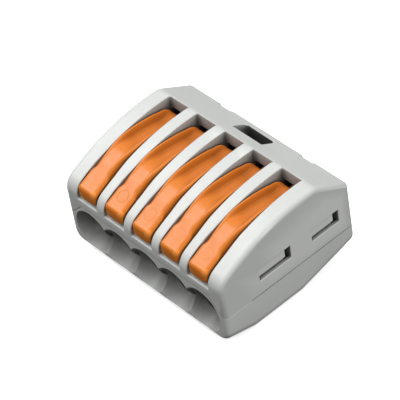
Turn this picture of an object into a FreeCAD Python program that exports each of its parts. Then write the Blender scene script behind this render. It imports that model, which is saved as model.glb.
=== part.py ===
import FreeCAD, Part
import math
import os
import re
import Sketcher
from FreeCAD import Placement, Vector

# Five-way lever wire connector. Millimetres, X across the poles, -Y the wire entry side, +Z up.
# The origin is the centre of the bottom of the housing.

POLES = 5

SIZES = {
    # housing, outside
    "width": 27.1,
    "half_depth": 10.2,
    "height": 14.0,
    "rear_height": 11.24,
    "ridge_y": 5.36,
    "crown_y": 4.0,
    "nose_height": 10.12,
    "nose_round": 2.2,
    "base_front_y": 5.8,
    "base_front_lift": 1.1,
    "base_rear_y": 1.7,
    "base_rear_lift": 2.05,
    "heel": 0.9,
    "foot_round": 1.5,
    "corner_round": 0.6,
    "edge_round": 0.6,
    "crown_round": 2.0,
    "rear_round": 0.6,
    # parting face between the two shells
    "parting": 4.8,
    "parting_front": 7.4,
    "parting_reach": 11.0,
    "block_y": 6.0,
    # poles
    "pitch": 4.8,
    "well": 3.2,
    "well_mouth": 3.5,
    "mouth_start_y": 4.6,
    "mouth_full_y": 6.8,
    "ledge": 8.5,
    "chamber_rear_y": 6.7,
    "chamber_roof": 12.1,
    "chamber_slope": 0.4,
    "tray": 3.9,
    "tray_floor": 1.2,
    "tray_slope_y": 4.36,
    "tray_rear_y": 8.9,
    "tray_rear_floor": 2.9,
    # wire entries
    "entry_height": 4.1,
    "entry_radius": 1.95,
    "entry_mouth": 3.0,
    "entry_flare": 2.0,
    # latches between the shells
    "window_low": 6.78,
    "window_high": 8.62,
    "window_1_front": -4.45,
    "window_1_rear": 0.5,
    "window_2_front": 3.83,
    "window_2_rear": 8.1,
    "latch_play": 0.06,
    "latch_gap": 0.75,
    "skin": 0.6,
    "tongue": 0.66,
    "barb": 0.36,
    "barb_height": 1.2,
    # rear pocket and notches
    "pocket_half": 2.5,
    "pocket_front_y": 7.1,
    "pocket_rear_y": 9.15,
    "pocket_floor": 9.6,
    "notch_x": 7.0,
    "notch_width": 2.1,
    "notch_depth": 0.4,
    # levers
    "pivot_y": 3.1,
    "pivot_z": 11.0,
    "hub": 2.1,
    "boss": 1.05,
    "boss_reach": 2.05,
    "boss_play": 0.06,
    "lobe_reach": 3.3,
    "lobe_low": 1.45,
    "lobe_high": 0.3,
    "lobe_round": 0.72,
    "arm": 2.9,
    "arm_top_y": 1.0,
    "arm_top_z": 13.55,
    "arm_radius": 13.0,
    "arm_under_sink": 2.25,
    "arm_drop": 0.4,
    "arm_under_y": 2.1,
    "arm_under_z": 10.475,
    "arm_hub_z": 9.95,
    "arm_front_y": 8.0,
    "head": 3.0,
    "head_rear_y": 7.5,
    "head_rear_top": 11.85,
    "head_front_y": 9.6,
    "head_front_top": 10.9,
    "head_tip_y": 10.15,
    "head_tip_z": 9.5,
    "head_low_z": 8.8,
    "head_slope": 0.5,
    "head_round": 0.375,
    "channel": 2.1,
    "channel_rear_y": 2.3,
    "channel_front_y": 5.2,
    "channel_depth": 0.8,
    "channel_drop": 0.2,
    "channel_ramp": 2.5,
    # metal parts
    "bar_low": 5.7,
    "bar_thick": 0.8,
    "bar_front_y": 0.9,
    "bar_rear_y": 5.3,
    "bar_reach": 11.3,
    "bar_play": 0.1,
    "comb_reach": 3.0,
    "comb_half": 0.8,
    "strip": 2.7,
    "strip_thick": 0.35,
    "strip_top": 8.6,
    "strip_start_y": 0.5,
    "strip_back_y": 4.0,
    "strip_leg_y": 2.2,
    "strip_bend": 0.6,
    "strip_end": 4.3,
    "cage_half": 0.95,
    "cage_low": 5.3,
    "cage_high": 7.6,
}


def bound(text):
    """Write an expression with every size name as a reference to the sheet."""
    return re.sub(r"[a-z_0-9]+", lambda word: "Sizes." + word[0] if word[0] in SIZES else word[0], text)


def number(owner, text):
    """Work out an expression's present value."""
    return float(owner.evalExpression(bound(text)))


def make_sheet(doc):
    """Put the driving dimensions in a spreadsheet, one named cell each."""
    sheet = doc.addObject("Spreadsheet::Sheet", "Sizes")
    for row, (name, value) in enumerate(SIZES.items(), start=1):
        sheet.set(f"A{row}", name)
        sheet.set(f"B{row}", str(value))
        sheet.setAlias(f"B{row}", name)
    doc.recompute()
    return sheet


def make_body(doc, label):
    """Start a sub-part."""
    body = doc.addObject("PartDesign::Body", label)
    body.Label = label
    return body


def origin(body, role):
    """Find one of the body's own origin planes or axes."""
    return next(item for item in body.Origin.OriginFeatures if item.Role == role)


def place(sketch, geometry, position, point):
    """Fix one point of a sketch at two expressions, measured from the sketch's origin."""
    for kind, axis, text in (("DistanceX", -2, point[0]), ("DistanceY", -1, point[1])):
        if text == "0":
            sketch.addConstraint(Sketcher.Constraint("PointOnObject", geometry, position, axis))
            continue
        value = number(sketch, text)
        index = sketch.addConstraint(Sketcher.Constraint(kind, -1, 1, geometry, position, value))
        sketch.setExpression(f"Constraints[{index}]", bound(text))


def start_sketch(body, plane, name, lift="0"):
    """Attach a sketch to one of the body's planes, lifted along the plane's normal."""
    sketch = body.newObject("Sketcher::SketchObject", name)
    sketch.AttachmentSupport = [(origin(body, plane), "")]
    sketch.MapMode = "FlatFace"
    sketch.AttachmentOffset = Placement(Vector(0, 0, number(sketch, lift)), FreeCAD.Rotation())
    if lift != "0":
        sketch.setExpression("AttachmentOffset.Base.z", bound(lift))
    return sketch


def arc_between(start, end, centre_u):
    """Make the arc, turning left, from start to end whose centre has the given first coordinate."""
    middle = (start + end) / 2
    along = end - start
    centre_v = middle.y - (centre_u - middle.x) * along.x / along.y
    centre = Vector(centre_u, centre_v, 0)
    circle = Part.Circle(centre, Vector(0, 0, 1), (start - centre).Length)
    angles = [math.atan2(end_point.y - centre_v, end_point.x - centre_u) for end_point in (start, end)]
    return Part.ArcOfCircle(circle, angles[0], angles[1])


def draw_path(sketch, points, closed=True):
    """Draw joined lines and arcs. A point is (u, v), or (u, v, centre_u) where a left-turning arc leaves it."""
    count = len(points) if closed else len(points) - 1
    spots = [Vector(number(sketch, point[0]), number(sketch, point[1]), 0) for point in points]
    first = None
    for index in range(count):
        start, end = spots[index], spots[(index + 1) % len(points)]
        if len(points[index]) == 3:
            piece = arc_between(start, end, number(sketch, points[index][2]))
        else:
            piece = Part.LineSegment(start, end)
        geometry = sketch.addGeometry(piece)
        place(sketch, geometry, 1, points[index])
        if len(points[index]) == 3:
            value = number(sketch, points[index][2])
            mark = sketch.addConstraint(Sketcher.Constraint("DistanceX", -1, 1, geometry, 3, value))
            sketch.setExpression(f"Constraints[{mark}]", bound(points[index][2]))
        if first is None:
            first = geometry
        else:
            sketch.addConstraint(Sketcher.Constraint("Coincident", geometry - 1, 2, geometry, 1))
    if closed:
        sketch.addConstraint(Sketcher.Constraint("Coincident", first + count - 1, 2, first, 1))
    else:
        place(sketch, first + count - 1, 2, points[-1])
    return sketch


def draw_box(sketch, low_u, low_v, high_u, high_v):
    """Draw a rectangle between two corners."""
    return draw_path(sketch, [(low_u, low_v), (high_u, low_v), (high_u, high_v), (low_u, high_v)])


def draw_circle(sketch, centre, radius):
    """Draw a circle at two expressions with a radius expression."""
    spot = Vector(number(sketch, centre[0]), number(sketch, centre[1]), 0)
    geometry = sketch.addGeometry(Part.Circle(spot, Vector(0, 0, 1), number(sketch, radius)))
    place(sketch, geometry, 3, centre)
    index = sketch.addConstraint(Sketcher.Constraint("Radius", geometry, number(sketch, radius)))
    sketch.setExpression(f"Constraints[{index}]", bound(radius))
    return sketch


def check_change(body, feature, before, grows):
    """Stop where a feature didn't change the volume in the direction it should."""
    after = body.Shape.Volume if body.Shape and not body.Shape.isNull() else 0.0
    if (after > before + 1e-6) != grows or abs(after - before) < 1e-6:
        raise RuntimeError(f"{body.Label}: {feature.Name} changed the volume from {before:.4f} to {after:.4f}")


def volume(body):
    """The body's present volume, or nothing before its first feature."""
    return body.Shape.Volume if body.Shape and not body.Shape.isNull() else 0.0


def extrude(body, kind, sketch, length, midplane=False, reverse=False):
    """Pad or pocket a sketch and check that material was added or taken away."""
    before = volume(body)
    feature = body.newObject(f"PartDesign::{kind}", f"{sketch.Name}_{kind.lower()}")
    feature.Profile = sketch
    feature.Length = number(sketch, length)
    feature.setExpression("Length", bound(length))
    feature.SideType = "Symmetric" if midplane else "One side"
    feature.Reversed = reverse
    sketch.Visibility = False
    body.Document.recompute()
    check_change(body, feature, before, kind == "Pad")
    return feature


def edges_where(shape, test):
    """Name the edges whose middle point passes a test."""
    names = []
    for index, edge in enumerate(shape.Edges, start=1):
        if test(edge.valueAt((edge.FirstParameter + edge.LastParameter) / 2), edge):
            names.append(f"Edge{index}")
    return names


def round_edges(body, name, radius, test):
    """Round the edges that pass a test."""
    base = body.Tip
    names = edges_where(base.Shape, test)
    if not names:
        raise RuntimeError(f"{body.Label}: no edges for {name}")
    feature = body.newObject("PartDesign::Fillet", name)
    feature.Base = (base, names)
    feature.Radius = number(body, radius)
    feature.setExpression("Radius", bound(radius))
    body.Document.recompute()
    if "Invalid" in feature.State or "Error" in feature.State:
        raise RuntimeError(f"{body.Label}: {name} failed")
    return feature


def repeat_poles(body, name, features):
    """Repeat features of the first pole at every pole."""
    before = volume(body)
    pattern = body.newObject("PartDesign::LinearPattern", name)
    pattern.Originals = features
    pattern.Direction = (origin(body, "X_Axis"), [""])
    pattern.Length = number(body, f"{POLES - 1} * pitch")
    pattern.setExpression("Length", bound(f"{POLES - 1} * pitch"))
    pattern.Occurrences = POLES
    body.Tip = pattern
    body.Document.recompute()
    check_change(body, pattern, before, volume(body) > before)
    return pattern


def mirror_ends(body, name, features):
    """Repeat features of the +X end at the -X end."""
    before = volume(body)
    mirrored = body.newObject("PartDesign::Mirrored", name)
    mirrored.Originals = features
    mirrored.MirrorPlane = (origin(body, "YZ_Plane"), [""])
    body.Tip = mirrored
    body.Document.recompute()
    check_change(body, mirrored, before, volume(body) > before)
    return mirrored


FIRST_POLE = f"0 - {(POLES - 1) / 2} * pitch"
WINDOWS = ("window_1", "window_2")


def arm_top(sink):
    """Expressions for the lever arm's top arc, sunk by some depth, at a distance along Y."""
    radius = f"(arm_radius - {sink})"
    return lambda y: f"arm_top_z - arm_radius + sqrt({radius} * {radius} - ({y} + arm_top_y) * ({y} + arm_top_y))"


def crown_top(sink):
    """Expressions for the ribs' crown arc, sunk by some depth, at a distance along Y."""
    crown_z = "(height * height + (ridge_y - crown_y) * (ridge_y - crown_y) - nose_height * nose_height" \
              " - (half_depth + crown_y) * (half_depth + crown_y)) / (2 * (height - nose_height))"
    radius = f"(sqrt((height - {crown_z}) * (height - {crown_z})" \
             f" + (ridge_y - crown_y) * (ridge_y - crown_y)) - ({sink}))"
    return lambda y: f"{crown_z} + sqrt({radius} * {radius} - ({y} - crown_y) * ({y} - crown_y))"


def near(value, target, slack=0.02):
    return abs(value - target) < slack


def make_upper_housing(doc):
    """The cover: end walls, ribs between the levers, front ledge and sloping rear."""
    body = make_body(doc, "upper_housing")
    outside = start_sketch(body, "YZ_Plane", "cover_side")
    draw_path(outside, [
        ("half_depth", "parting"),
        ("half_depth", "rear_height"),
        ("ridge_y", "height", "crown_y"),
        ("0 - half_depth", "nose_height"),
        ("0 - half_depth", "parting"),
    ])
    extrude(body, "Pad", outside, "width", midplane=True)
    depth, half = SIZES["half_depth"], SIZES["width"] / 2
    round_edges(body, "cover_nose_round", "nose_round",
                lambda p, e: near(p.y, -depth) and near(p.z, SIZES["nose_height"]))
    round_edges(body, "cover_ridge_round", "crown_round",
                lambda p, e: near(p.x, 0) and p.z > SIZES["nose_height"] and near(p.y, SIZES["ridge_y"], 0.1))
    round_edges(body, "cover_rear_round", "rear_round",
                lambda p, e: near(p.x, 0) and near(p.y, depth) and p.z > SIZES["nose_height"])
    round_edges(body, "cover_end_round", "edge_round",
                lambda p, e: near(abs(p.x), half) and p.z > SIZES["parting"] + 0.1)

    front = start_sketch(body, "XZ_Plane", "cover_front_opening", "block_y")
    draw_path(front, [
        ("0 - width / 2", "parting"),
        ("width / 2", "parting"),
        ("parting_reach", "parting_front"),
        ("0 - parting_reach", "parting_front"),
    ])
    extrude(body, "Pocket", front, "half_depth", reverse=True)

    well = start_sketch(body, "YZ_Plane", "well_side", FIRST_POLE)
    draw_path(well, [
        ("ridge_y", "height + 1"),
        ("0 - half_depth - 1", "height + 1"),
        ("0 - half_depth - 1", "ledge"),
        ("0 - block_y", "ledge"),
        ("0 - block_y", "parting - 1"),
        ("chamber_rear_y", "parting - 1"),
        ("chamber_rear_y", "chamber_roof - chamber_slope"),
        ("ridge_y", "chamber_roof"),
    ])
    well_cut = extrude(body, "Pocket", well, "well", midplane=True)
    mouth = start_sketch(body, "XY_Plane", "well_mouth", "ledge")
    half_well, half_mouth = f"{FIRST_POLE} - well / 2", f"{FIRST_POLE} - well_mouth / 2"
    draw_path(mouth, [
        (half_well, "0 - mouth_start_y"),
        (half_mouth, "0 - mouth_full_y"),
        (half_mouth, "0 - half_depth - 1"),
        (f"{half_mouth} + well_mouth", "0 - half_depth - 1"),
        (f"{half_mouth} + well_mouth", "0 - mouth_full_y"),
        (f"{half_well} + well", "0 - mouth_start_y"),
    ])
    mouth_cut = extrude(body, "Pocket", mouth, "height", reverse=True)
    bearing = start_sketch(body, "YZ_Plane", "bearing_seat", FIRST_POLE)
    draw_circle(bearing, ("pivot_y", "pivot_z"), "boss + boss_play")
    bearing_cut = extrude(body, "Pocket", bearing, "2 * (boss_reach + boss_play)", midplane=True)
    repeat_poles(body, "pole_wells", [well_cut, mouth_cut, bearing_cut])

    seat = start_sketch(body, "YZ_Plane", "bar_seat")
    draw_box(seat, "0 - bar_front_y - bar_play", "parting - 1",
             "bar_rear_y + bar_play", "bar_low + bar_thick + bar_play")
    extrude(body, "Pocket", seat, "2 * (bar_reach + bar_play)", midplane=True)

    latch_cuts = []
    for window in WINDOWS:
        opening = start_sketch(body, "YZ_Plane", f"{window}_opening", "width / 2")
        draw_box(opening, f"{window}_front", "window_low", f"{window}_rear", "window_high")
        latch_cuts.append(extrude(body, "Pocket", opening, "skin + tongue + latch_play"))
        slot = start_sketch(body, "XY_Plane", f"{window}_slot", "parting")
        draw_box(slot, "width / 2 - skin - tongue - latch_play", f"{window}_front",
                 "width / 2 - skin", f"{window}_rear")
        latch_cuts.append(extrude(body, "Pocket", slot, "window_high - parting", reverse=True))
    mirror_ends(body, "far_end_latch_seats", latch_cuts)

    pocket = start_sketch(body, "XY_Plane", "rear_pocket", "pocket_floor")
    draw_box(pocket, "0 - pocket_half", "pocket_front_y", "pocket_half", "pocket_rear_y")
    extrude(body, "Pocket", pocket, "height", reverse=True)
    round_edges(body, "rear_pocket_round", "edge_round",
                lambda p, e: near(abs(p.x), SIZES["pocket_half"]) and near(p.y, SIZES["pocket_rear_y"])
                and p.z > SIZES["pocket_floor"])
    notch = start_sketch(body, "XY_Plane", "rear_notch", "parting")
    draw_box(notch, "notch_x - notch_width / 2", "half_depth - notch_depth",
             "notch_x + notch_width / 2", "half_depth + 1")
    notch_cut = extrude(body, "Pocket", notch, "height", reverse=True)
    mirror_ends(body, "second_rear_notch", [notch_cut])
    return body


def make_lower_housing(doc):
    """The tray: base, wire entries, partitions between the poles and the latch tongues."""
    body = make_body(doc, "lower_housing")
    outside = start_sketch(body, "YZ_Plane", "tray_side")
    draw_path(outside, [
        ("half_depth", "parting"),
        ("0 - block_y - latch_play", "parting"),
        ("0 - block_y - latch_play", "parting_front"),
        ("0 - half_depth", "parting_front"),
        ("0 - half_depth", "base_front_lift"),
        ("0 - base_front_y", "0"),
        ("base_rear_y", "0"),
        ("half_depth", "base_rear_lift"),
    ])
    extrude(body, "Pad", outside, "width", midplane=True)
    depth, half, lift = SIZES["half_depth"], SIZES["width"] / 2, SIZES["base_rear_lift"]
    round_edges(body, "tray_foot_round", "foot_round",
                lambda p, e: near(abs(p.x), half) and p.z < lift - 0.1 and abs(p.y) < depth - 0.1)
    round_edges(body, "tray_front_round", "corner_round",
                lambda p, e: near(p.x, 0) and near(p.y, -depth) and p.z < lift)
    round_edges(body, "tray_rear_round", "corner_round",
                lambda p, e: near(p.x, 0) and near(p.y, depth) and p.z < lift + 0.1)
    heel = start_sketch(body, "YZ_Plane", "tray_heel")
    draw_path(heel, [
        ("half_depth + 1", "base_rear_lift + heel + 1"),
        ("half_depth - 2 * heel", "base_rear_lift - heel"),
        ("half_depth + 1", "base_rear_lift - heel"),
    ])
    extrude(body, "Pocket", heel, "width + 1", midplane=True)

    for side, name in (("", "right_shoulder"), ("0 - ", "left_shoulder")):
        shoulder = start_sketch(body, "XZ_Plane", name)
        draw_path(shoulder, [
            (f"{side}parting_reach", "parting_front"),
            (f"{side}width / 2", "parting"),
            (f"{side}(width / 2 + 1)", "parting"),
            (f"{side}(width / 2 + 1)", "parting_front + 1"),
            (f"{side}parting_reach", "parting_front + 1"),
        ])
        extrude(body, "Pocket", shoulder, "half_depth + 1", reverse=True)
    lands = start_sketch(body, "YZ_Plane", "bar_lands")
    draw_box(lands, "0 - bar_front_y", "parting", "bar_rear_y", "bar_low")
    extrude(body, "Pad", lands, "2 * bar_reach", midplane=True)

    chamber = start_sketch(body, "YZ_Plane", "pole_chamber", FIRST_POLE)
    draw_path(chamber, [
        ("0 - block_y - latch_play", "bar_low + 1"),
        ("0 - block_y - latch_play", "tray_floor"),
        ("tray_slope_y", "tray_floor"),
        ("tray_rear_y", "tray_rear_floor"),
        ("tray_rear_y", "bar_low + 1"),
    ])
    chamber_cut = extrude(body, "Pocket", chamber, "tray", midplane=True)
    repeat_poles(body, "pole_chambers", [chamber_cut])
    bore = start_sketch(body, "XZ_Plane", "entry_bore", "half_depth")
    draw_circle(bore, (FIRST_POLE, "entry_height"), "entry_radius")
    bore_cut = extrude(body, "Pocket", bore, "half_depth - block_y + 1")
    repeat_poles(body, "entry_bores", [bore_cut])
    for pole in range(POLES):
        cut_flare(body, pole)

    tongues = []
    for window in WINDOWS:
        low, high = f"{window}_front + latch_play", f"{window}_rear - latch_gap"
        tongue = start_sketch(body, "XY_Plane", f"{window}_tongue", "parting")
        draw_box(tongue, "width / 2 - skin - tongue", low, "width / 2 - skin - latch_play", high)
        tongues.append(extrude(body, "Pad", tongue, "window_high - latch_play - parting"))
        barb = start_sketch(body, "XY_Plane", f"{window}_barb", "window_high - latch_play - barb_height")
        draw_box(barb, "width / 2 - skin - latch_play * 2", low, "width / 2 - skin + barb", high)
        tongues.append(extrude(body, "Pad", barb, "barb_height"))
    mirror_ends(body, "far_end_latches", tongues)
    return body


def cut_flare(body, pole):
    """Widen one wire entry towards its mouth with a cone."""
    before = volume(body)
    cone = body.newObject("PartDesign::SubtractiveCone", f"entry_flare_{pole + 1}")
    cone.AttachmentSupport = [(origin(body, "XZ_Plane"), "")]
    cone.MapMode = "FlatFace"
    for name, text in (
        ("Radius1", "entry_radius"),
        ("Radius2", "entry_mouth"),
        ("Height", "entry_flare"),
        ("AttachmentOffset.Base.x", f"{pole - (POLES - 1) / 2} * pitch"),
        ("AttachmentOffset.Base.y", "entry_height"),
        ("AttachmentOffset.Base.z", "half_depth - entry_flare"),
    ):
        cone.setExpression(name, bound(text))
    body.Document.recompute()
    check_change(body, cone, before, False)
    return cone


def make_lever(doc, number_of_pole):
    """One lever: hub with two pivot bosses and a cam lobe, channelled arm, and a block head."""
    body = make_body(doc, f"lever_{number_of_pole}")
    top = arm_top("0")
    under = crown_top("arm_under_sink")
    arm = start_sketch(body, "YZ_Plane", "arm_side")
    draw_path(arm, [
        ("pivot_y", top("0") + " - arm_drop"),
        ("0", top("0"), "0 - arm_top_y"),
        ("0 - arm_front_y", top("(0 - arm_front_y)")),
        ("0 - arm_front_y", under("(0 - arm_front_y)")),
        ("0 - ridge_y", under("(0 - ridge_y)")),
        ("0 - arm_under_y", "arm_under_z"),
        ("pivot_y", "arm_hub_z"),
    ])
    extrude(body, "Pad", arm, "arm", midplane=True)
    hub = start_sketch(body, "YZ_Plane", "hub_side")
    draw_circle(hub, ("pivot_y", "pivot_z"), "hub")
    extrude(body, "Pad", hub, "arm", midplane=True)
    lobe = start_sketch(body, "YZ_Plane", "lobe_side")
    draw_box(lobe, "pivot_y", "pivot_z - lobe_low", "pivot_y + lobe_reach", "pivot_z + lobe_high")
    extrude(body, "Pad", lobe, "arm", midplane=True)
    reach = SIZES["pivot_y"] + SIZES["lobe_reach"]
    round_edges(body, "lobe_round", "lobe_round",
                lambda p, e: near(p.x, 0) and near(p.y, reach))
    head = start_sketch(body, "YZ_Plane", "head_side")
    draw_path(head, [
        ("0 - head_rear_y", "head_rear_top"),
        ("0 - head_front_y", "head_front_top"),
        ("0 - head_tip_y", "head_tip_z"),
        ("0 - head_front_y", "head_low_z"),
        ("0 - head_rear_y", "head_low_z + head_slope"),
    ])
    extrude(body, "Pad", head, "head", midplane=True)
    round_edges(body, "head_under_round", "head_round",
                lambda p, e: near(p.x, 0) and p.y < -SIZES["head_front_y"] + 0.1 and p.z < SIZES["head_tip_z"] + 0.1)
    boss = start_sketch(body, "YZ_Plane", "boss_side")
    draw_circle(boss, ("pivot_y", "pivot_z"), "boss")
    extrude(body, "Pad", boss, "2 * boss_reach", midplane=True)
    channel = start_sketch(body, "YZ_Plane", "channel_side")
    deep = arm_top("channel_depth")
    draw_path(channel, [
        ("channel_rear_y", "height + 1"),
        ("0 - channel_front_y", "height + 1"),
        ("0 - channel_front_y", top("(0 - channel_front_y)")),
        ("channel_ramp - channel_front_y", deep("(channel_ramp - channel_front_y)")),
        ("channel_rear_y", deep("0") + " - channel_drop"),
    ])
    extrude(body, "Pocket", channel, "channel", midplane=True)
    body.setExpression(".Placement.Base.x", bound(f"{number_of_pole - (POLES + 1) / 2} * pitch"))
    return body


def make_clamp_spring(doc, number_of_pole):
    """One cage clamp: a strip along the bar, a bow above it and a leg with a window for the wire."""
    body = make_body(doc, f"clamp_spring_{number_of_pole}")
    low = "bar_low + bar_thick + strip_thick / 2 + latch_play"
    high = "strip_top - strip_thick / 2"
    spine = start_sketch(body, "YZ_Plane", "strip_path")
    draw_path(spine, [
        ("strip_start_y", low),
        ("strip_back_y", low, "strip_back_y"),
        ("strip_back_y", high),
        ("strip_bend - strip_leg_y", high, "strip_bend - strip_leg_y"),
        ("0 - strip_leg_y", f"{high} - strip_bend"),
        ("0 - strip_leg_y", "strip_end"),
    ], closed=False)
    section = start_sketch(body, "XZ_Plane", "strip_section", "0 - strip_start_y")
    draw_box(section, "0 - strip / 2", f"{low} - strip_thick / 2", "strip / 2", f"{low} + strip_thick / 2")
    pipe = body.newObject("PartDesign::AdditivePipe", "strip_bent")
    pipe.Profile = section
    pipe.Spine = spine
    doc.recompute()
    check_change(body, pipe, 0.0, True)
    window = start_sketch(body, "XZ_Plane", "cage_window", "strip_leg_y - strip_thick")
    draw_box(window, "0 - cage_half", "cage_low", "cage_half", "cage_high")
    extrude(body, "Pocket", window, "2 * strip_thick", reverse=True)
    body.setExpression(".Placement.Base.x", bound(f"{number_of_pole - (POLES + 1) / 2} * pitch"))
    return body


def make_current_bar(doc):
    """The bar that joins the poles, with one tongue through each clamp's window."""
    body = make_body(doc, "current_bar")
    plate = start_sketch(body, "XY_Plane", "bar_plate", "bar_low")
    draw_box(plate, "0 - bar_reach", "0 - bar_front_y", "bar_reach", "bar_rear_y")
    extrude(body, "Pad", plate, "bar_thick")
    tongue = start_sketch(body, "XY_Plane", "bar_tongue", "bar_low")
    draw_box(tongue, f"{FIRST_POLE} - comb_half", "0 - comb_reach", f"{FIRST_POLE} + comb_half", "0")
    tongue_pad = extrude(body, "Pad", tongue, "bar_thick")
    repeat_poles(body, "bar_tongues", [tongue_pad])
    return body


def check_document(doc):
    """Stop if anything in the document failed to build."""
    for item in doc.Objects:
        if "Invalid" in item.State or "Error" in item.State:
            raise RuntimeError(f"{item.Name}: {item.State}")


def write_parts(bodies):
    """Check every sub-part's shape and write it to its own file."""
    os.makedirs("parts", exist_ok=True)
    for body in bodies:
        shape = body.Shape
        if shape.isNull() or not shape.isValid():
            raise RuntimeError(f"{body.Label}: the shape is not valid")
        if len(shape.Solids) != 1:
            raise RuntimeError(f"{body.Label}: {len(shape.Solids)} solids")
    for body in bodies:
        body.Shape.exportStep(f"parts/{body.Label}.step")
        print(body.Label, round(body.Shape.Volume, 2), body.Shape.BoundBox)


def main():
    doc = FreeCAD.newDocument("lever_connector")
    make_sheet(doc)
    bodies = [make_upper_housing(doc), make_lower_housing(doc), make_current_bar(doc)]
    for pole in range(1, POLES + 1):
        bodies.append(make_clamp_spring(doc, pole))
        bodies.append(make_lever(doc, pole))
    doc.recompute()
    check_document(doc)
    write_parts(bodies)


main()
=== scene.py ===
import math

import bmesh
import bpy
from mathutils import Matrix, Vector


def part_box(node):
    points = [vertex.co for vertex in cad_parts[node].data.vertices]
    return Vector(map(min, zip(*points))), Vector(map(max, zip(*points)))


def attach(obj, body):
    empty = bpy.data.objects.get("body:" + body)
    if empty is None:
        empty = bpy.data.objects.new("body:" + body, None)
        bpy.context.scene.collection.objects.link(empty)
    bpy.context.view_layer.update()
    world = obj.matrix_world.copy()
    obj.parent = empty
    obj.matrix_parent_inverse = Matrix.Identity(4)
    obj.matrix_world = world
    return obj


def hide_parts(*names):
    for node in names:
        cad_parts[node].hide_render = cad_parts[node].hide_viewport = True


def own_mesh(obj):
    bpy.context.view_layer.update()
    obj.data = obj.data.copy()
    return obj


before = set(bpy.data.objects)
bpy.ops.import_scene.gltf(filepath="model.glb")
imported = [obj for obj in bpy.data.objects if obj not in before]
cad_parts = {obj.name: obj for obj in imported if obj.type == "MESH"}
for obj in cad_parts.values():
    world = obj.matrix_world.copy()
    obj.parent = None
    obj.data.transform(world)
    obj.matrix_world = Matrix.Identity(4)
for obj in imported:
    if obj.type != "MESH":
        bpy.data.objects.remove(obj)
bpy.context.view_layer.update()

# Looks of the five-way lever wire connector. Lengths named in millimetres carry MM; the scene is in metres.

MM = 0.001
POLES = 5


# ---------------------------------------------------------------- materials

POLYAMIDE_IOR = 1.5
AO_SAMPLES = 8
# Painted shade in hollows, multiplied into the base colour: (reach in millimetres, openness where fully dark,
# openness where fully lit, darkest).
COVER_HOLLOWS = (8.0, 0.22, 0.66, 0.07)
TRAY_HOLLOWS = (12.0, 0.38, 0.92, 0.04)
LEVER_HOLLOWS = (2.5, 0.30, 0.90, 0.35)
# Painted shade where one piece meets another, reached across pieces.
SHADE_BETWEEN_PIECES = (0.5, 0.3, 0.75, 0.3)
FLOOR_GLOW = 0.4


def start_material(name):
    """A new node material, its tree and its Principled shader."""
    material = bpy.data.materials.new(name)
    material.use_nodes = True
    tree = material.node_tree
    return material, tree, tree.nodes["Principled BSDF"]


def noise(tree, scale, detail=2.0, stretch=(1, 1, 1)):
    """Noise in object space, scale in cycles per millimetre, stretched along an axis."""
    spot = tree.nodes.new("ShaderNodeTexCoord")
    mapping = tree.nodes.new("ShaderNodeMapping")
    mapping.inputs["Scale"].default_value = [scale / MM * part for part in stretch]
    texture = tree.nodes.new("ShaderNodeTexNoise")
    texture.inputs["Scale"].default_value = 1.0
    texture.inputs["Detail"].default_value = detail
    tree.links.new(spot.outputs["Object"], mapping.inputs["Vector"])
    tree.links.new(mapping.outputs["Vector"], texture.inputs["Vector"])
    return texture.outputs["Fac"]


def ramp(tree, value, stops):
    """A colour or grey ramp over a value. Each stop is (position, colour or grey)."""
    node = tree.nodes.new("ShaderNodeValToRGB")
    for index, (position, shade) in enumerate(stops):
        spot = node.color_ramp.elements[index] if index < 2 else node.color_ramp.elements.new(position)
        spot.position = position
        spot.color = (*shade, 1) if isinstance(shade, tuple) else (shade, shade, shade, 1)
    tree.links.new(value, node.inputs["Fac"])
    return node.outputs["Color"]


def blend_colours(tree, mode, share, first, second):
    """Mix two colours; share is a number or a socket."""
    node = tree.nodes.new("ShaderNodeMix")
    node.data_type = "RGBA"
    node.blend_type = mode
    if isinstance(share, (int, float)):
        node.inputs[0].default_value = share
    else:
        tree.links.new(share, node.inputs[0])
    for socket, value in ((6, first), (7, second)):
        if isinstance(value, tuple):
            node.inputs[socket].default_value = (*value, 1)
        else:
            tree.links.new(value, node.inputs[socket])
    return node.outputs[2]


def bump(tree, shader, layers):
    """Chain bump layers into the shader's normal. Each is (height socket, millimetres, strength)."""
    last = None
    for height, distance, strength in layers:
        node = tree.nodes.new("ShaderNodeBump")
        node.inputs["Distance"].default_value = distance * MM
        node.inputs["Strength"].default_value = strength
        tree.links.new(height, node.inputs["Height"])
        if last:
            tree.links.new(last, node.inputs["Normal"])
        last = node.outputs["Normal"]
    tree.links.new(last, shader.inputs["Normal"])


def pale_edge_share(tree, low, high):
    """One along convex edges, nothing elsewhere."""
    shape = tree.nodes.new("ShaderNodeNewGeometry")
    return ramp(tree, shape.outputs["Pointiness"], [(low, 0.0), (high, 1.0)])


def paint_hollow_shade(tree, colour, own, reach, shut, open_up, dark):
    """Paint shade into a colour in hollows, of its own piece or between pieces.

    The reach is in millimetres. A point is as dark as it gets where its openness is under shut, and keeps its
    colour where it is over open_up.
    """
    hollow = tree.nodes.new("ShaderNodeAmbientOcclusion")
    hollow.samples = AO_SAMPLES
    hollow.only_local = own
    hollow.inputs["Distance"].default_value = reach * MM
    # painted shade: the colour is multiplied darker the less open a point is
    shade = ramp(tree, hollow.outputs["AO"], [(shut, dark), (open_up, 1.0)])
    return blend_colours(tree, "MULTIPLY", 1.0, colour, shade)


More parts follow.
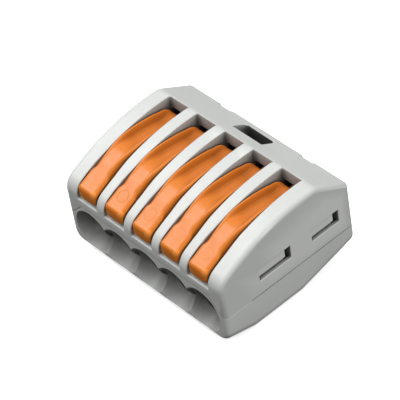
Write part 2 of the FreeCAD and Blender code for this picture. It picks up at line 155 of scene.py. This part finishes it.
def moulded_plastic(name, shade, deep, edge_tone, roughness, grain, hollows):
    """Moulded plastic: slow tint drift, fine tool grain, paler convex edges, painted shade in its own hollows
    and painted shade where it meets other pieces.
    """
    material, tree, shader = start_material(name)
    drift = ramp(tree, noise(tree, 0.12, 3), [(0.35, deep), (0.65, shade)])
    specks = ramp(tree, noise(tree, 6.0, 1), [(0.30, deep), (0.42, shade)])
    body = blend_colours(tree, "MIX", 0.25, drift, specks)
    # paler colour along convex edges, found by Pointiness
    colour = blend_colours(tree, "MIX", pale_edge_share(tree, 0.52, 0.62), body, edge_tone)
    # painted shade in the piece's own hollows, then painted shade where it meets other pieces
    shaded_in_hollows = paint_hollow_shade(tree, colour, True, *hollows)
    shaded_between_pieces = paint_hollow_shade(tree, shaded_in_hollows, False, *SHADE_BETWEEN_PIECES)
    tree.links.new(shaded_between_pieces, shader.inputs["Base Color"])
    gloss = ramp(tree, noise(tree, 0.9, 4), [(0.3, roughness - 0.05), (0.7, roughness + 0.06)])
    tree.links.new(gloss, shader.inputs["Roughness"])
    bump(tree, shader, [(noise(tree, 0.5, 2), 0.02, 0.25), (noise(tree, 14.0, 2), 0.004, grain)])
    return material, shader


def housing_plastic(name, hollows):
    """Satin grey polyamide."""
    material, shader = moulded_plastic(
        name, shade=(0.455, 0.465, 0.45), deep=(0.43, 0.44, 0.425), edge_tone=(0.52, 0.53, 0.515),
        roughness=0.44, grain=0.5, hollows=hollows)
    shader.inputs["IOR"].default_value = POLYAMIDE_IOR
    return material


def lever_plastic():
    """Glossy orange polyamide."""
    material, shader = moulded_plastic(
        "orange_polyamide", shade=(0.56, 0.162, 0.018), deep=(0.51, 0.14, 0.015), edge_tone=(0.64, 0.21, 0.036),
        roughness=0.34, grain=0.25, hollows=LEVER_HOLLOWS)
    shader.inputs["IOR"].default_value = POLYAMIDE_IOR
    shader.inputs["Specular IOR Level"].default_value = 0.4
    return material


def rolled_metal(name, shade, dark, roughness):
    """Rolled strip: fine lines along the strip, soft stains and bright edges."""
    material, tree, shader = start_material(name)
    stains = ramp(tree, noise(tree, 0.6, 4), [(0.35, dark), (0.6, shade)])
    lines = ramp(tree, noise(tree, 9.0, 2, (1, 0.05, 0.05)), [(0.4, dark), (0.6, shade)])
    tree.links.new(blend_colours(tree, "MIX", 0.4, stains, lines), shader.inputs["Base Color"])
    gloss = ramp(tree, noise(tree, 2.0, 3), [(0.3, roughness - 0.06), (0.7, roughness + 0.1)])
    tree.links.new(gloss, shader.inputs["Roughness"])
    shader.inputs["Metallic"].default_value = 1.0
    bump(tree, shader, [(noise(tree, 9.0, 2, (1, 0.05, 0.05)), 0.004, 0.5)])
    return material


def floor_finish():
    """Plain pale studio paper, with a slight glow that keeps the object's shadow faint."""
    material, tree, shader = start_material("pale_floor")
    shade = ramp(tree, noise(tree, 0.02, 2), [(0.3, 0.93), (0.7, 0.95)])
    tree.links.new(shade, shader.inputs["Base Color"])
    shader.inputs["Roughness"].default_value = 0.9
    shader.inputs["Specular IOR Level"].default_value = 0.1
    shader.inputs["Emission Color"].default_value = (1, 1, 1, 1)
    shader.inputs["Emission Strength"].default_value = FLOOR_GLOW
    return material


# ---------------------------------------------------------------- housing

COVER_EDGE, BAR_EDGE, SPRING_EDGE = 0.12, 0.08, 0.05
WELD_REACH = 1e-7
FLAT_WITHIN = math.radians(1)
SHARP_OVER = math.radians(38)


def soften(piece, width):
    """Give a piece the small edge rounds, of a width in millimetres, that its plain solid leaves out."""
    weld = piece.modifiers.new("weld", "WELD")
    weld.merge_threshold = WELD_REACH
    flat = piece.modifiers.new("flat", "DECIMATE")
    flat.decimate_type = "DISSOLVE"
    flat.angle_limit = FLAT_WITHIN
    edge = piece.modifiers.new("edge", "BEVEL")
    edge.width = width * MM
    edge.segments = 3
    edge.limit_method = "ANGLE"
    edge.angle_limit = SHARP_OVER
    edge.use_clamp_overlap = False
    normals = piece.modifiers.new("normals", "WEIGHTED_NORMAL")
    normals.keep_sharp = False


def finish_node(node, material):
    """Put a material in every slot of a CAD node."""
    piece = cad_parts[node]
    for slot in piece.material_slots:
        slot.material = material


# ---------------------------------------------------------------- levers

# Side profile of a lever, in millimetres (Y, Z): the hub about the pivot, the arc of the arm, the head.
PIVOT = Vector((3.1, 11.0))
HUB_RADIUS = 2.05
ARC_CENTRE = Vector((-1.0, 0.55))
ARC_RADIUS = 13.0
ARC_END = -7.0
HEAD_TOP = 10.9
HEAD_START, HEAD_FRONT, HEAD_TIP = -7.35, -9.6, -10.12
# The lower line, from the hub to the head: smooth steps join these points.
UNDER_START = PIVOT.x - 1.86
UNDERSIDE = ((UNDER_START, 9.93), (-2.1, 10.35), (-5.4, 10.0), (-7.3, 9.25), (HEAD_FRONT, 8.82))

# Plan: where along Y the arm narrows to the neck and the neck widens to the head, and the half widths.
NECK_START, NECK_END = -2.6, -5.8
SHOULDER_START, SHOULDER_END = -6.9, -7.8
ARM_HALF, NECK_HALF, HEAD_HALF = 1.50, 1.22, 1.5

# Section: the corner rounds, and the channel in the top, which rises to a nearly flat pad on the neck. The
# channel's floor has one half width, and its walls reach the top at a share of the way to the corner round.
ARM_ROUND, HEAD_ROUND = 0.20, 0.50
CHANNEL_END, PAD_START = -0.8, -4.8
CHANNEL_DEPTH, PAD_DEPTH = 0.95, 0.09
CHANNEL_HALF = 0.85
RIM_SHARE = 0.98

# The nose that closes the head: its drop, how thin and how narrow its tip is, and the power of its rounding.
NOSE_DROP = 0.05
NOSE_THIN, NOSE_NARROW = 0.42, 0.66
NOSE_POWER = 0.8

# The round ejector mark on the head; its depth differs from lever to lever.
MARK_CENTRE = HEAD_START - 0.95
MARK_RADIUS, MARK_WIDTH = 0.72, 0.06
MARK_DEPTHS = (0.0, 0.045, 0.03, 0.025, 0.02)
MARK_REACH = 0.4
TOP_SKIN = 0.2

# The pivot bosses, and the cam lobe behind and below the pivot.
BOSS_RADIUS, BOSS_REACH, BOSS_CHAMFER = 1.05, 2.05, 0.15
LOBE_CENTRE = Vector((0, PIVOT.x + 1.7, PIVOT.y - 0.575))
LOBE_SIZE = Vector((2.2, 3.2, 1.6))
LOBE_ROUND = 0.35

# How finely the loft is divided round the hub, along the arm, along the head and round the nose. The angles
# round the hub are in degrees, as (start, sweep), of the top line and of the underside.
HUB_STEPS, ARM_STEPS, HEAD_STEPS, NOSE_STEPS = 18, 48, 40, 9
HUB_TOP_TURN, HUB_LOW_TURN = (-75, 160), (-80, -70)
CHANNEL_FROM, CHANNEL_FULL = 25, 75
HEAD_SHARE = 0.76
LEVER_SHARP_OVER = math.radians(42)


def ease(low, high, value):
    """Smooth step from nothing at low to one at high."""
    t = min(1.0, max(0.0, (value - low) / (high - low)))
    return t * t * (3 - 2 * t)


def arc_height(y):
    """Height of the arm's top arc at a distance along Y."""
    return ARC_CENTRE.y + math.sqrt(ARC_RADIUS ** 2 - (y - ARC_CENTRE.x) ** 2)


def lever_top(y):
    """Height of the upper line: the arm's arc, easing into the hub behind, and the straight head in front."""
    if y < ARC_END:
        fall = (arc_height(ARC_END) - HEAD_TOP) / (ARC_END - HEAD_FRONT)
        return HEAD_TOP + fall * (y - HEAD_FRONT)
    into_hub = PIVOT.y + HUB_RADIUS - arc_height(PIVOT.x)
    return arc_height(y) + into_hub * ease(0.0, PIVOT.x, y)


def lever_underside(y):
    """Height of the lever's lower line."""
    for (near_y, near_z), (far_y, far_z) in zip(UNDERSIDE, UNDERSIDE[1:]):
        if y >= far_y:
            return near_z + (far_z - near_z) * ease(near_y, far_y, y)
    return UNDERSIDE[-1][1]


def around_hub(turn, share):
    """The angle at a share of a turn round the hub, in radians, and the point of the hub there."""
    start, sweep = turn
    angle = math.radians(start + sweep * share)
    return angle, PIVOT + HUB_RADIUS * Vector((math.cos(angle), math.sin(angle)))


def hub_stations():
    """Sections round the back of the hub."""
    stations = []
    for step in range(HUB_STEPS):
        angle, top = around_hub(HUB_TOP_TURN, step / HUB_STEPS)
        low = around_hub(HUB_LOW_TURN, step / HUB_STEPS)[1]
        depth = CHANNEL_DEPTH * ease(CHANNEL_FROM, CHANNEL_FULL, math.degrees(angle))
        stations.append((top, low, ARM_HALF, depth, ARM_ROUND))
    return stations


def arm_and_head_stations():
    """Sections along the arm and, more closely spaced, along the head."""
    stations = []
    for step in range(ARM_STEPS + HEAD_STEPS + 1):
        if step <= ARM_STEPS:
            share = HEAD_SHARE * step / ARM_STEPS
        else:
            share = HEAD_SHARE + (1 - HEAD_SHARE) * (step - ARM_STEPS) / HEAD_STEPS
        y = PIVOT.x + (HEAD_FRONT - PIVOT.x) * share
        low_y = UNDER_START + (HEAD_FRONT - UNDER_START) * share
        half = ARM_HALF + (NECK_HALF - ARM_HALF) * ease(NECK_START, NECK_END, y)
        half += (HEAD_HALF - NECK_HALF) * ease(SHOULDER_START, SHOULDER_END, y)
        depth = CHANNEL_DEPTH + (PAD_DEPTH - CHANNEL_DEPTH) * ease(CHANNEL_END, PAD_START, y)
        depth *= 1 - ease(PAD_START, SHOULDER_START, y)
        round_off = ARM_ROUND + (HEAD_ROUND - ARM_ROUND) * ease(PAD_START, HEAD_START, y)
        top = Vector((y, lever_top(y)))
        low = Vector((low_y, lever_underside(low_y)))
        stations.append((top, low, half, depth, round_off))
    return stations


def nose_stations(top, low):
    """Sections that close the head in a rounded nose, from its front section's top and bottom points."""
    stations = []
    middle = (top + low) / 2 - Vector((0, NOSE_DROP))
    for step in range(1, NOSE_STEPS):
        swing = math.pi / 2 * step / NOSE_STEPS
        reach = Vector((HEAD_TIP - HEAD_FRONT, 0)) * math.sin(swing)
        fullness = math.cos(swing) ** NOSE_POWER
        squeeze = NOSE_THIN + (1 - NOSE_THIN) * fullness
        half = HEAD_HALF * (NOSE_NARROW + (1 - NOSE_NARROW) * fullness)
        nose_top = middle + (top - middle) * squeeze + reach
        nose_low = middle + (low - middle) * squeeze + reach
        stations.append((nose_top, nose_low, half, 0.0, HEAD_ROUND))
    return stations


def lever_stations():
    """Sections along the lever as (top point, bottom point, half width, channel depth, corner round)."""
    stations = hub_stations() + arm_and_head_stations()
    return stations + nose_stations(*stations[-1][:2])


def section_line(half, thick, depth, round_off):
    """One closed section as (across, drop from the top line) points, right side first."""
    round_off = min(round_off, 0.45 * thick)
    flat = half - round_off
    across_top = [flat * math.sin(math.pi / 2 * step / 20) for step in range(21)]
    top = [(x, depth * (1 - ease(CHANNEL_HALF, RIM_SHARE * flat, x))) for x in across_top]
    corner = [
        (flat + round_off * math.sin(a), round_off * (1 - math.cos(a)))
        for a in (math.radians(18 * step) for step in range(1, 6))
    ]
    side = [(half, round_off + (thick - 2 * round_off) * step / 4) for step in range(1, 4)]
    under = [(x, thick - drop) for x, drop in reversed(corner)]
    floor = [(flat * (1 - step / 4), thick) for step in range(0, 5)]
    right = top + corner + side + under + floor
    left = [(-x, down) for x, down in reversed(right) if x > 1e-6]
    return right + left


def lever_body(mark_depth):
    """The lever's skin as one closed loft, centred on X = 0."""
    work = bmesh.new()
    rings = []
    for top, low, half, depth, round_off in lever_stations():
        down = (low - top).normalized()
        thick = (low - top).length
        ring = []
        for x, drop in section_line(half, thick, depth, round_off):
            spot = top + down * drop
            ring.append(work.verts.new((x * MM, spot.x * MM, spot.y * MM)))
        rings.append(ring)
    for first, second in zip(rings, rings[1:]):
        for index in range(len(first)):
            after = (index + 1) % len(first)
            work.faces.new((first[index], first[after], second[after], second[index]))
    for ring in (rings[0], rings[-1]):
        work.faces.new(ring if ring is rings[-1] else list(reversed(ring)))
    bmesh.ops.recalc_face_normals(work, faces=work.faces)
    stamp_mark(work, mark_depth)
    return work


def stamp_mark(work, depth):
    """Press the round ejector mark into the flat of the head."""
    for vertex in work.verts:
        x, y, z = (part / MM for part in vertex.co)
        if z < lever_top(y) - TOP_SKIN or y > HEAD_START + MARK_REACH:
            continue
        away = (math.hypot(x, y - MARK_CENTRE) - MARK_RADIUS) / MARK_WIDTH
        vertex.co.z -= depth * math.exp(-away * away) * MM


def add_turned(work, radius, reach, chamfer):
    """Fill a new bmesh with a round boss along X about the pivot, with chamfered ends."""
    place = Matrix.Translation((0, PIVOT.x * MM, PIVOT.y * MM)) @ Matrix.Rotation(math.pi / 2, 4, "Y")
    bmesh.ops.create_cone(
        work, segments=40, cap_ends=True, radius1=radius * MM, radius2=radius * MM, depth=2 * reach * MM,
        matrix=place)
    rims = [edge for edge in work.edges if any(len(face.verts) > 4 for face in edge.link_faces)]
    bmesh.ops.bevel(work, geom=rims, offset=chamfer * MM, segments=2, affect="EDGES", profile=0.5)


def apply_modifiers(piece):
    """Bake a piece's modifiers into its mesh."""
    bpy.context.view_layer.update()
    shaped = bpy.data.meshes.new_from_object(piece.evaluated_get(bpy.context.evaluated_depsgraph_get()))
    piece.modifiers.clear()
    piece.data = shaped


def new_piece(name, work):
    """Turn a bmesh into a linked object."""
    mesh = bpy.data.meshes.new(name)
    work.to_mesh(mesh)
    work.free()
    piece = bpy.data.objects.new(name, mesh)
    bpy.context.scene.collection.objects.link(piece)
    return piece


def make_lever(name, mark_depth):
    """A finished lever, centred on X = 0: lofted skin, pivot bosses and cam lobe joined into one solid."""
    lever = new_piece(name, lever_body(mark_depth))
    extras = bmesh.new()
    add_turned(extras, BOSS_RADIUS, BOSS_REACH, BOSS_CHAMFER)
    bosses = new_piece("bosses", extras)
    lobe_work = bmesh.new()
    lobe_place = Matrix.LocRotScale(LOBE_CENTRE * MM, None, LOBE_SIZE * MM)
    bmesh.ops.create_cube(lobe_work, size=1, matrix=lobe_place)
    bmesh.ops.bevel(
        lobe_work, geom=lobe_work.edges[:], offset=LOBE_ROUND * MM, segments=4, affect="EDGES", profile=0.5)
    lobe = new_piece("lobe", lobe_work)
    for extra in (bosses, lobe):
        join = lever.modifiers.new(extra.name, "BOOLEAN")
        join.operation = "UNION"
        join.solver = "EXACT"
        join.object = extra
    apply_modifiers(lever)
    for extra in (bosses, lobe):
        bpy.data.objects.remove(extra)
    return lever


def add_levers(material):
    """Five levers, each standing for its CAD node and riding on its own body."""
    for pole, mark_depth in enumerate(MARK_DEPTHS, start=1):
        low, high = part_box(f"lever_{pole}")
        lever = make_lever(f"lever_{pole}_detailed", mark_depth)
        lever.location.x = (low.x + high.x) / 2
        lever.data.materials.clear()
        lever.data.materials.append(material)
        lever.data.shade_smooth()
        lever.data.set_sharp_from_angle(angle=LEVER_SHARP_OVER)
        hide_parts(f"lever_{pole}")
        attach(lever, f"lever_{pole}")


# ---------------------------------------------------------------- clamp springs


def add_springs(material):
    """Five clamp springs, each copied from its CAD node with softened edges and riding on the housing."""
    for pole in range(1, POLES + 1):
        node = f"clamp_spring_{pole}"
        spring = bpy.data.objects.new(f"{node}_flexing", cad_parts[node].data.copy())
        bpy.context.scene.collection.objects.link(spring)
        soften(spring, SPRING_EDGE)
        spring.data.materials.clear()
        spring.data.materials.append(material)
        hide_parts(node)
        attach(spring, "housing")
        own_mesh(spring)


# ---------------------------------------------------------------- camera, lights and floor

CAMERA_AIM = Vector((0, 0, 7)) * MM
CAMERA_AZIMUTH, CAMERA_ELEVATION, CAMERA_ROLL = 54.33, 43.43, -9.95
CAMERA_DISTANCE = 306 * MM
CAMERA_LENS = 236.8
CAMERA_SHIFT = (-0.0205, 0.012)
LIGHT_DISTANCE = 300
SKY_LOW, SKY_HIGH = 0.05, 0.84
SKY_FROM, SKY_TO = 0.15, 0.85
FLOOR_HALF = 800 * MM
FLOOR_GAP = 0.02 * MM


def add_camera():
    """A long lens that looks down on the front right corner, slightly rolled."""
    azimuth, elevation, roll = (math.radians(a) for a in (CAMERA_AZIMUTH, CAMERA_ELEVATION, CAMERA_ROLL))
    back = Vector((
        math.sin(azimuth) * math.cos(elevation),
        -math.cos(azimuth) * math.cos(elevation),
        math.sin(elevation),
    ))
    right = Vector((math.cos(azimuth), math.sin(azimuth), 0))
    up = back.cross(right)
    turned_right = math.cos(roll) * right + math.sin(roll) * up
    turned_up = math.cos(roll) * up - math.sin(roll) * right
    lens = bpy.data.cameras.new("camera")
    lens.lens = CAMERA_LENS
    lens.sensor_width = 36
    lens.shift_x, lens.shift_y = CAMERA_SHIFT
    lens.clip_start, lens.clip_end = 0.01, 10
    camera = bpy.data.objects.new("camera", lens)
    camera.matrix_world = (
        Matrix.Translation(CAMERA_AIM + back * CAMERA_DISTANCE)
        @ Matrix((turned_right, turned_up, back)).transposed().to_4x4()
    )
    bpy.context.scene.collection.objects.link(camera)
    bpy.context.scene.camera = camera


def add_softbox(name, azimuth, elevation, size, power, mirrored):
    """A square area light that looks at the object; one that isn't mirrored leaves no highlight."""
    a, e = math.radians(azimuth), math.radians(elevation)
    back = Vector((math.sin(a) * math.cos(e), -math.cos(a) * math.cos(e), math.sin(e)))
    light = bpy.data.lights.new(name, "AREA")
    light.size = size * MM
    light.energy = power
    box = bpy.data.objects.new(name, light)
    box.visible_glossy = mirrored
    box.location = CAMERA_AIM + back * LIGHT_DISTANCE * MM
    box.rotation_euler = (-back).to_track_quat("-Z", "Y").to_euler()
    bpy.context.scene.collection.objects.link(box)


def add_floor():
    """A wide pale sheet under the object, which doesn't light it from below and isn't mirrored in it."""
    corners = [(x * FLOOR_HALF, y * FLOOR_HALF, 0) for x, y in ((-1, -1), (1, -1), (1, 1), (-1, 1))]
    mesh = bpy.data.meshes.new("floor")
    mesh.from_pydata(corners, [], [(0, 1, 2, 3)])
    floor = bpy.data.objects.new("floor", mesh)
    floor.location.z = -FLOOR_GAP
    mesh.materials.append(floor_finish())
    bpy.context.scene.collection.objects.link(floor)
    floor.visible_diffuse = False
    floor.visible_glossy = False


def add_studio():
    """A sky that is bright overhead and dim below, three soft lights and the floor."""
    scene = bpy.context.scene
    scene.view_settings.view_transform = "Standard"
    world = bpy.data.worlds.new("studio")
    world.use_nodes = True
    tree = world.node_tree
    spot = tree.nodes.new("ShaderNodeTexCoord")
    split = tree.nodes.new("ShaderNodeSeparateXYZ")
    tree.links.new(spot.outputs["Generated"], split.inputs[0])
    sky = ramp(tree, split.outputs["Z"], [(SKY_FROM, SKY_LOW), (SKY_TO, SKY_HIGH)])
    tree.links.new(sky, tree.nodes["Background"].inputs["Color"])
    scene.world = world
    add_softbox("key", azimuth=-76, elevation=52, size=190, power=0.58, mirrored=True)
    add_softbox("side", azimuth=105, elevation=35, size=200, power=0.68, mirrored=False)
    add_softbox("front", azimuth=-10, elevation=50, size=160, power=0.34, mirrored=False)
    add_floor()


# ---------------------------------------------------------------- put together

# The cover and the tray share one grey and differ only in their painted hollow shade, which is much deeper on
# the tray.
cover_grey = housing_plastic("grey_polyamide_cover", COVER_HOLLOWS)
tray_grey = housing_plastic("grey_polyamide_tray", TRAY_HOLLOWS)
orange = lever_plastic()
steel = rolled_metal("spring_steel_strip", (0.62, 0.60, 0.57), (0.48, 0.46, 0.43), 0.28)
tin = rolled_metal("tinned_copper", (0.72, 0.72, 0.70), (0.60, 0.60, 0.58), 0.38)

soften(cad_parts["upper_housing"], COVER_EDGE)
finish_node("upper_housing", cover_grey)
finish_node("lower_housing", tray_grey)
soften(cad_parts["current_bar"], BAR_EDGE)
finish_node("current_bar", tin)
add_springs(steel)
add_levers(orange)

add_camera()
add_studio()
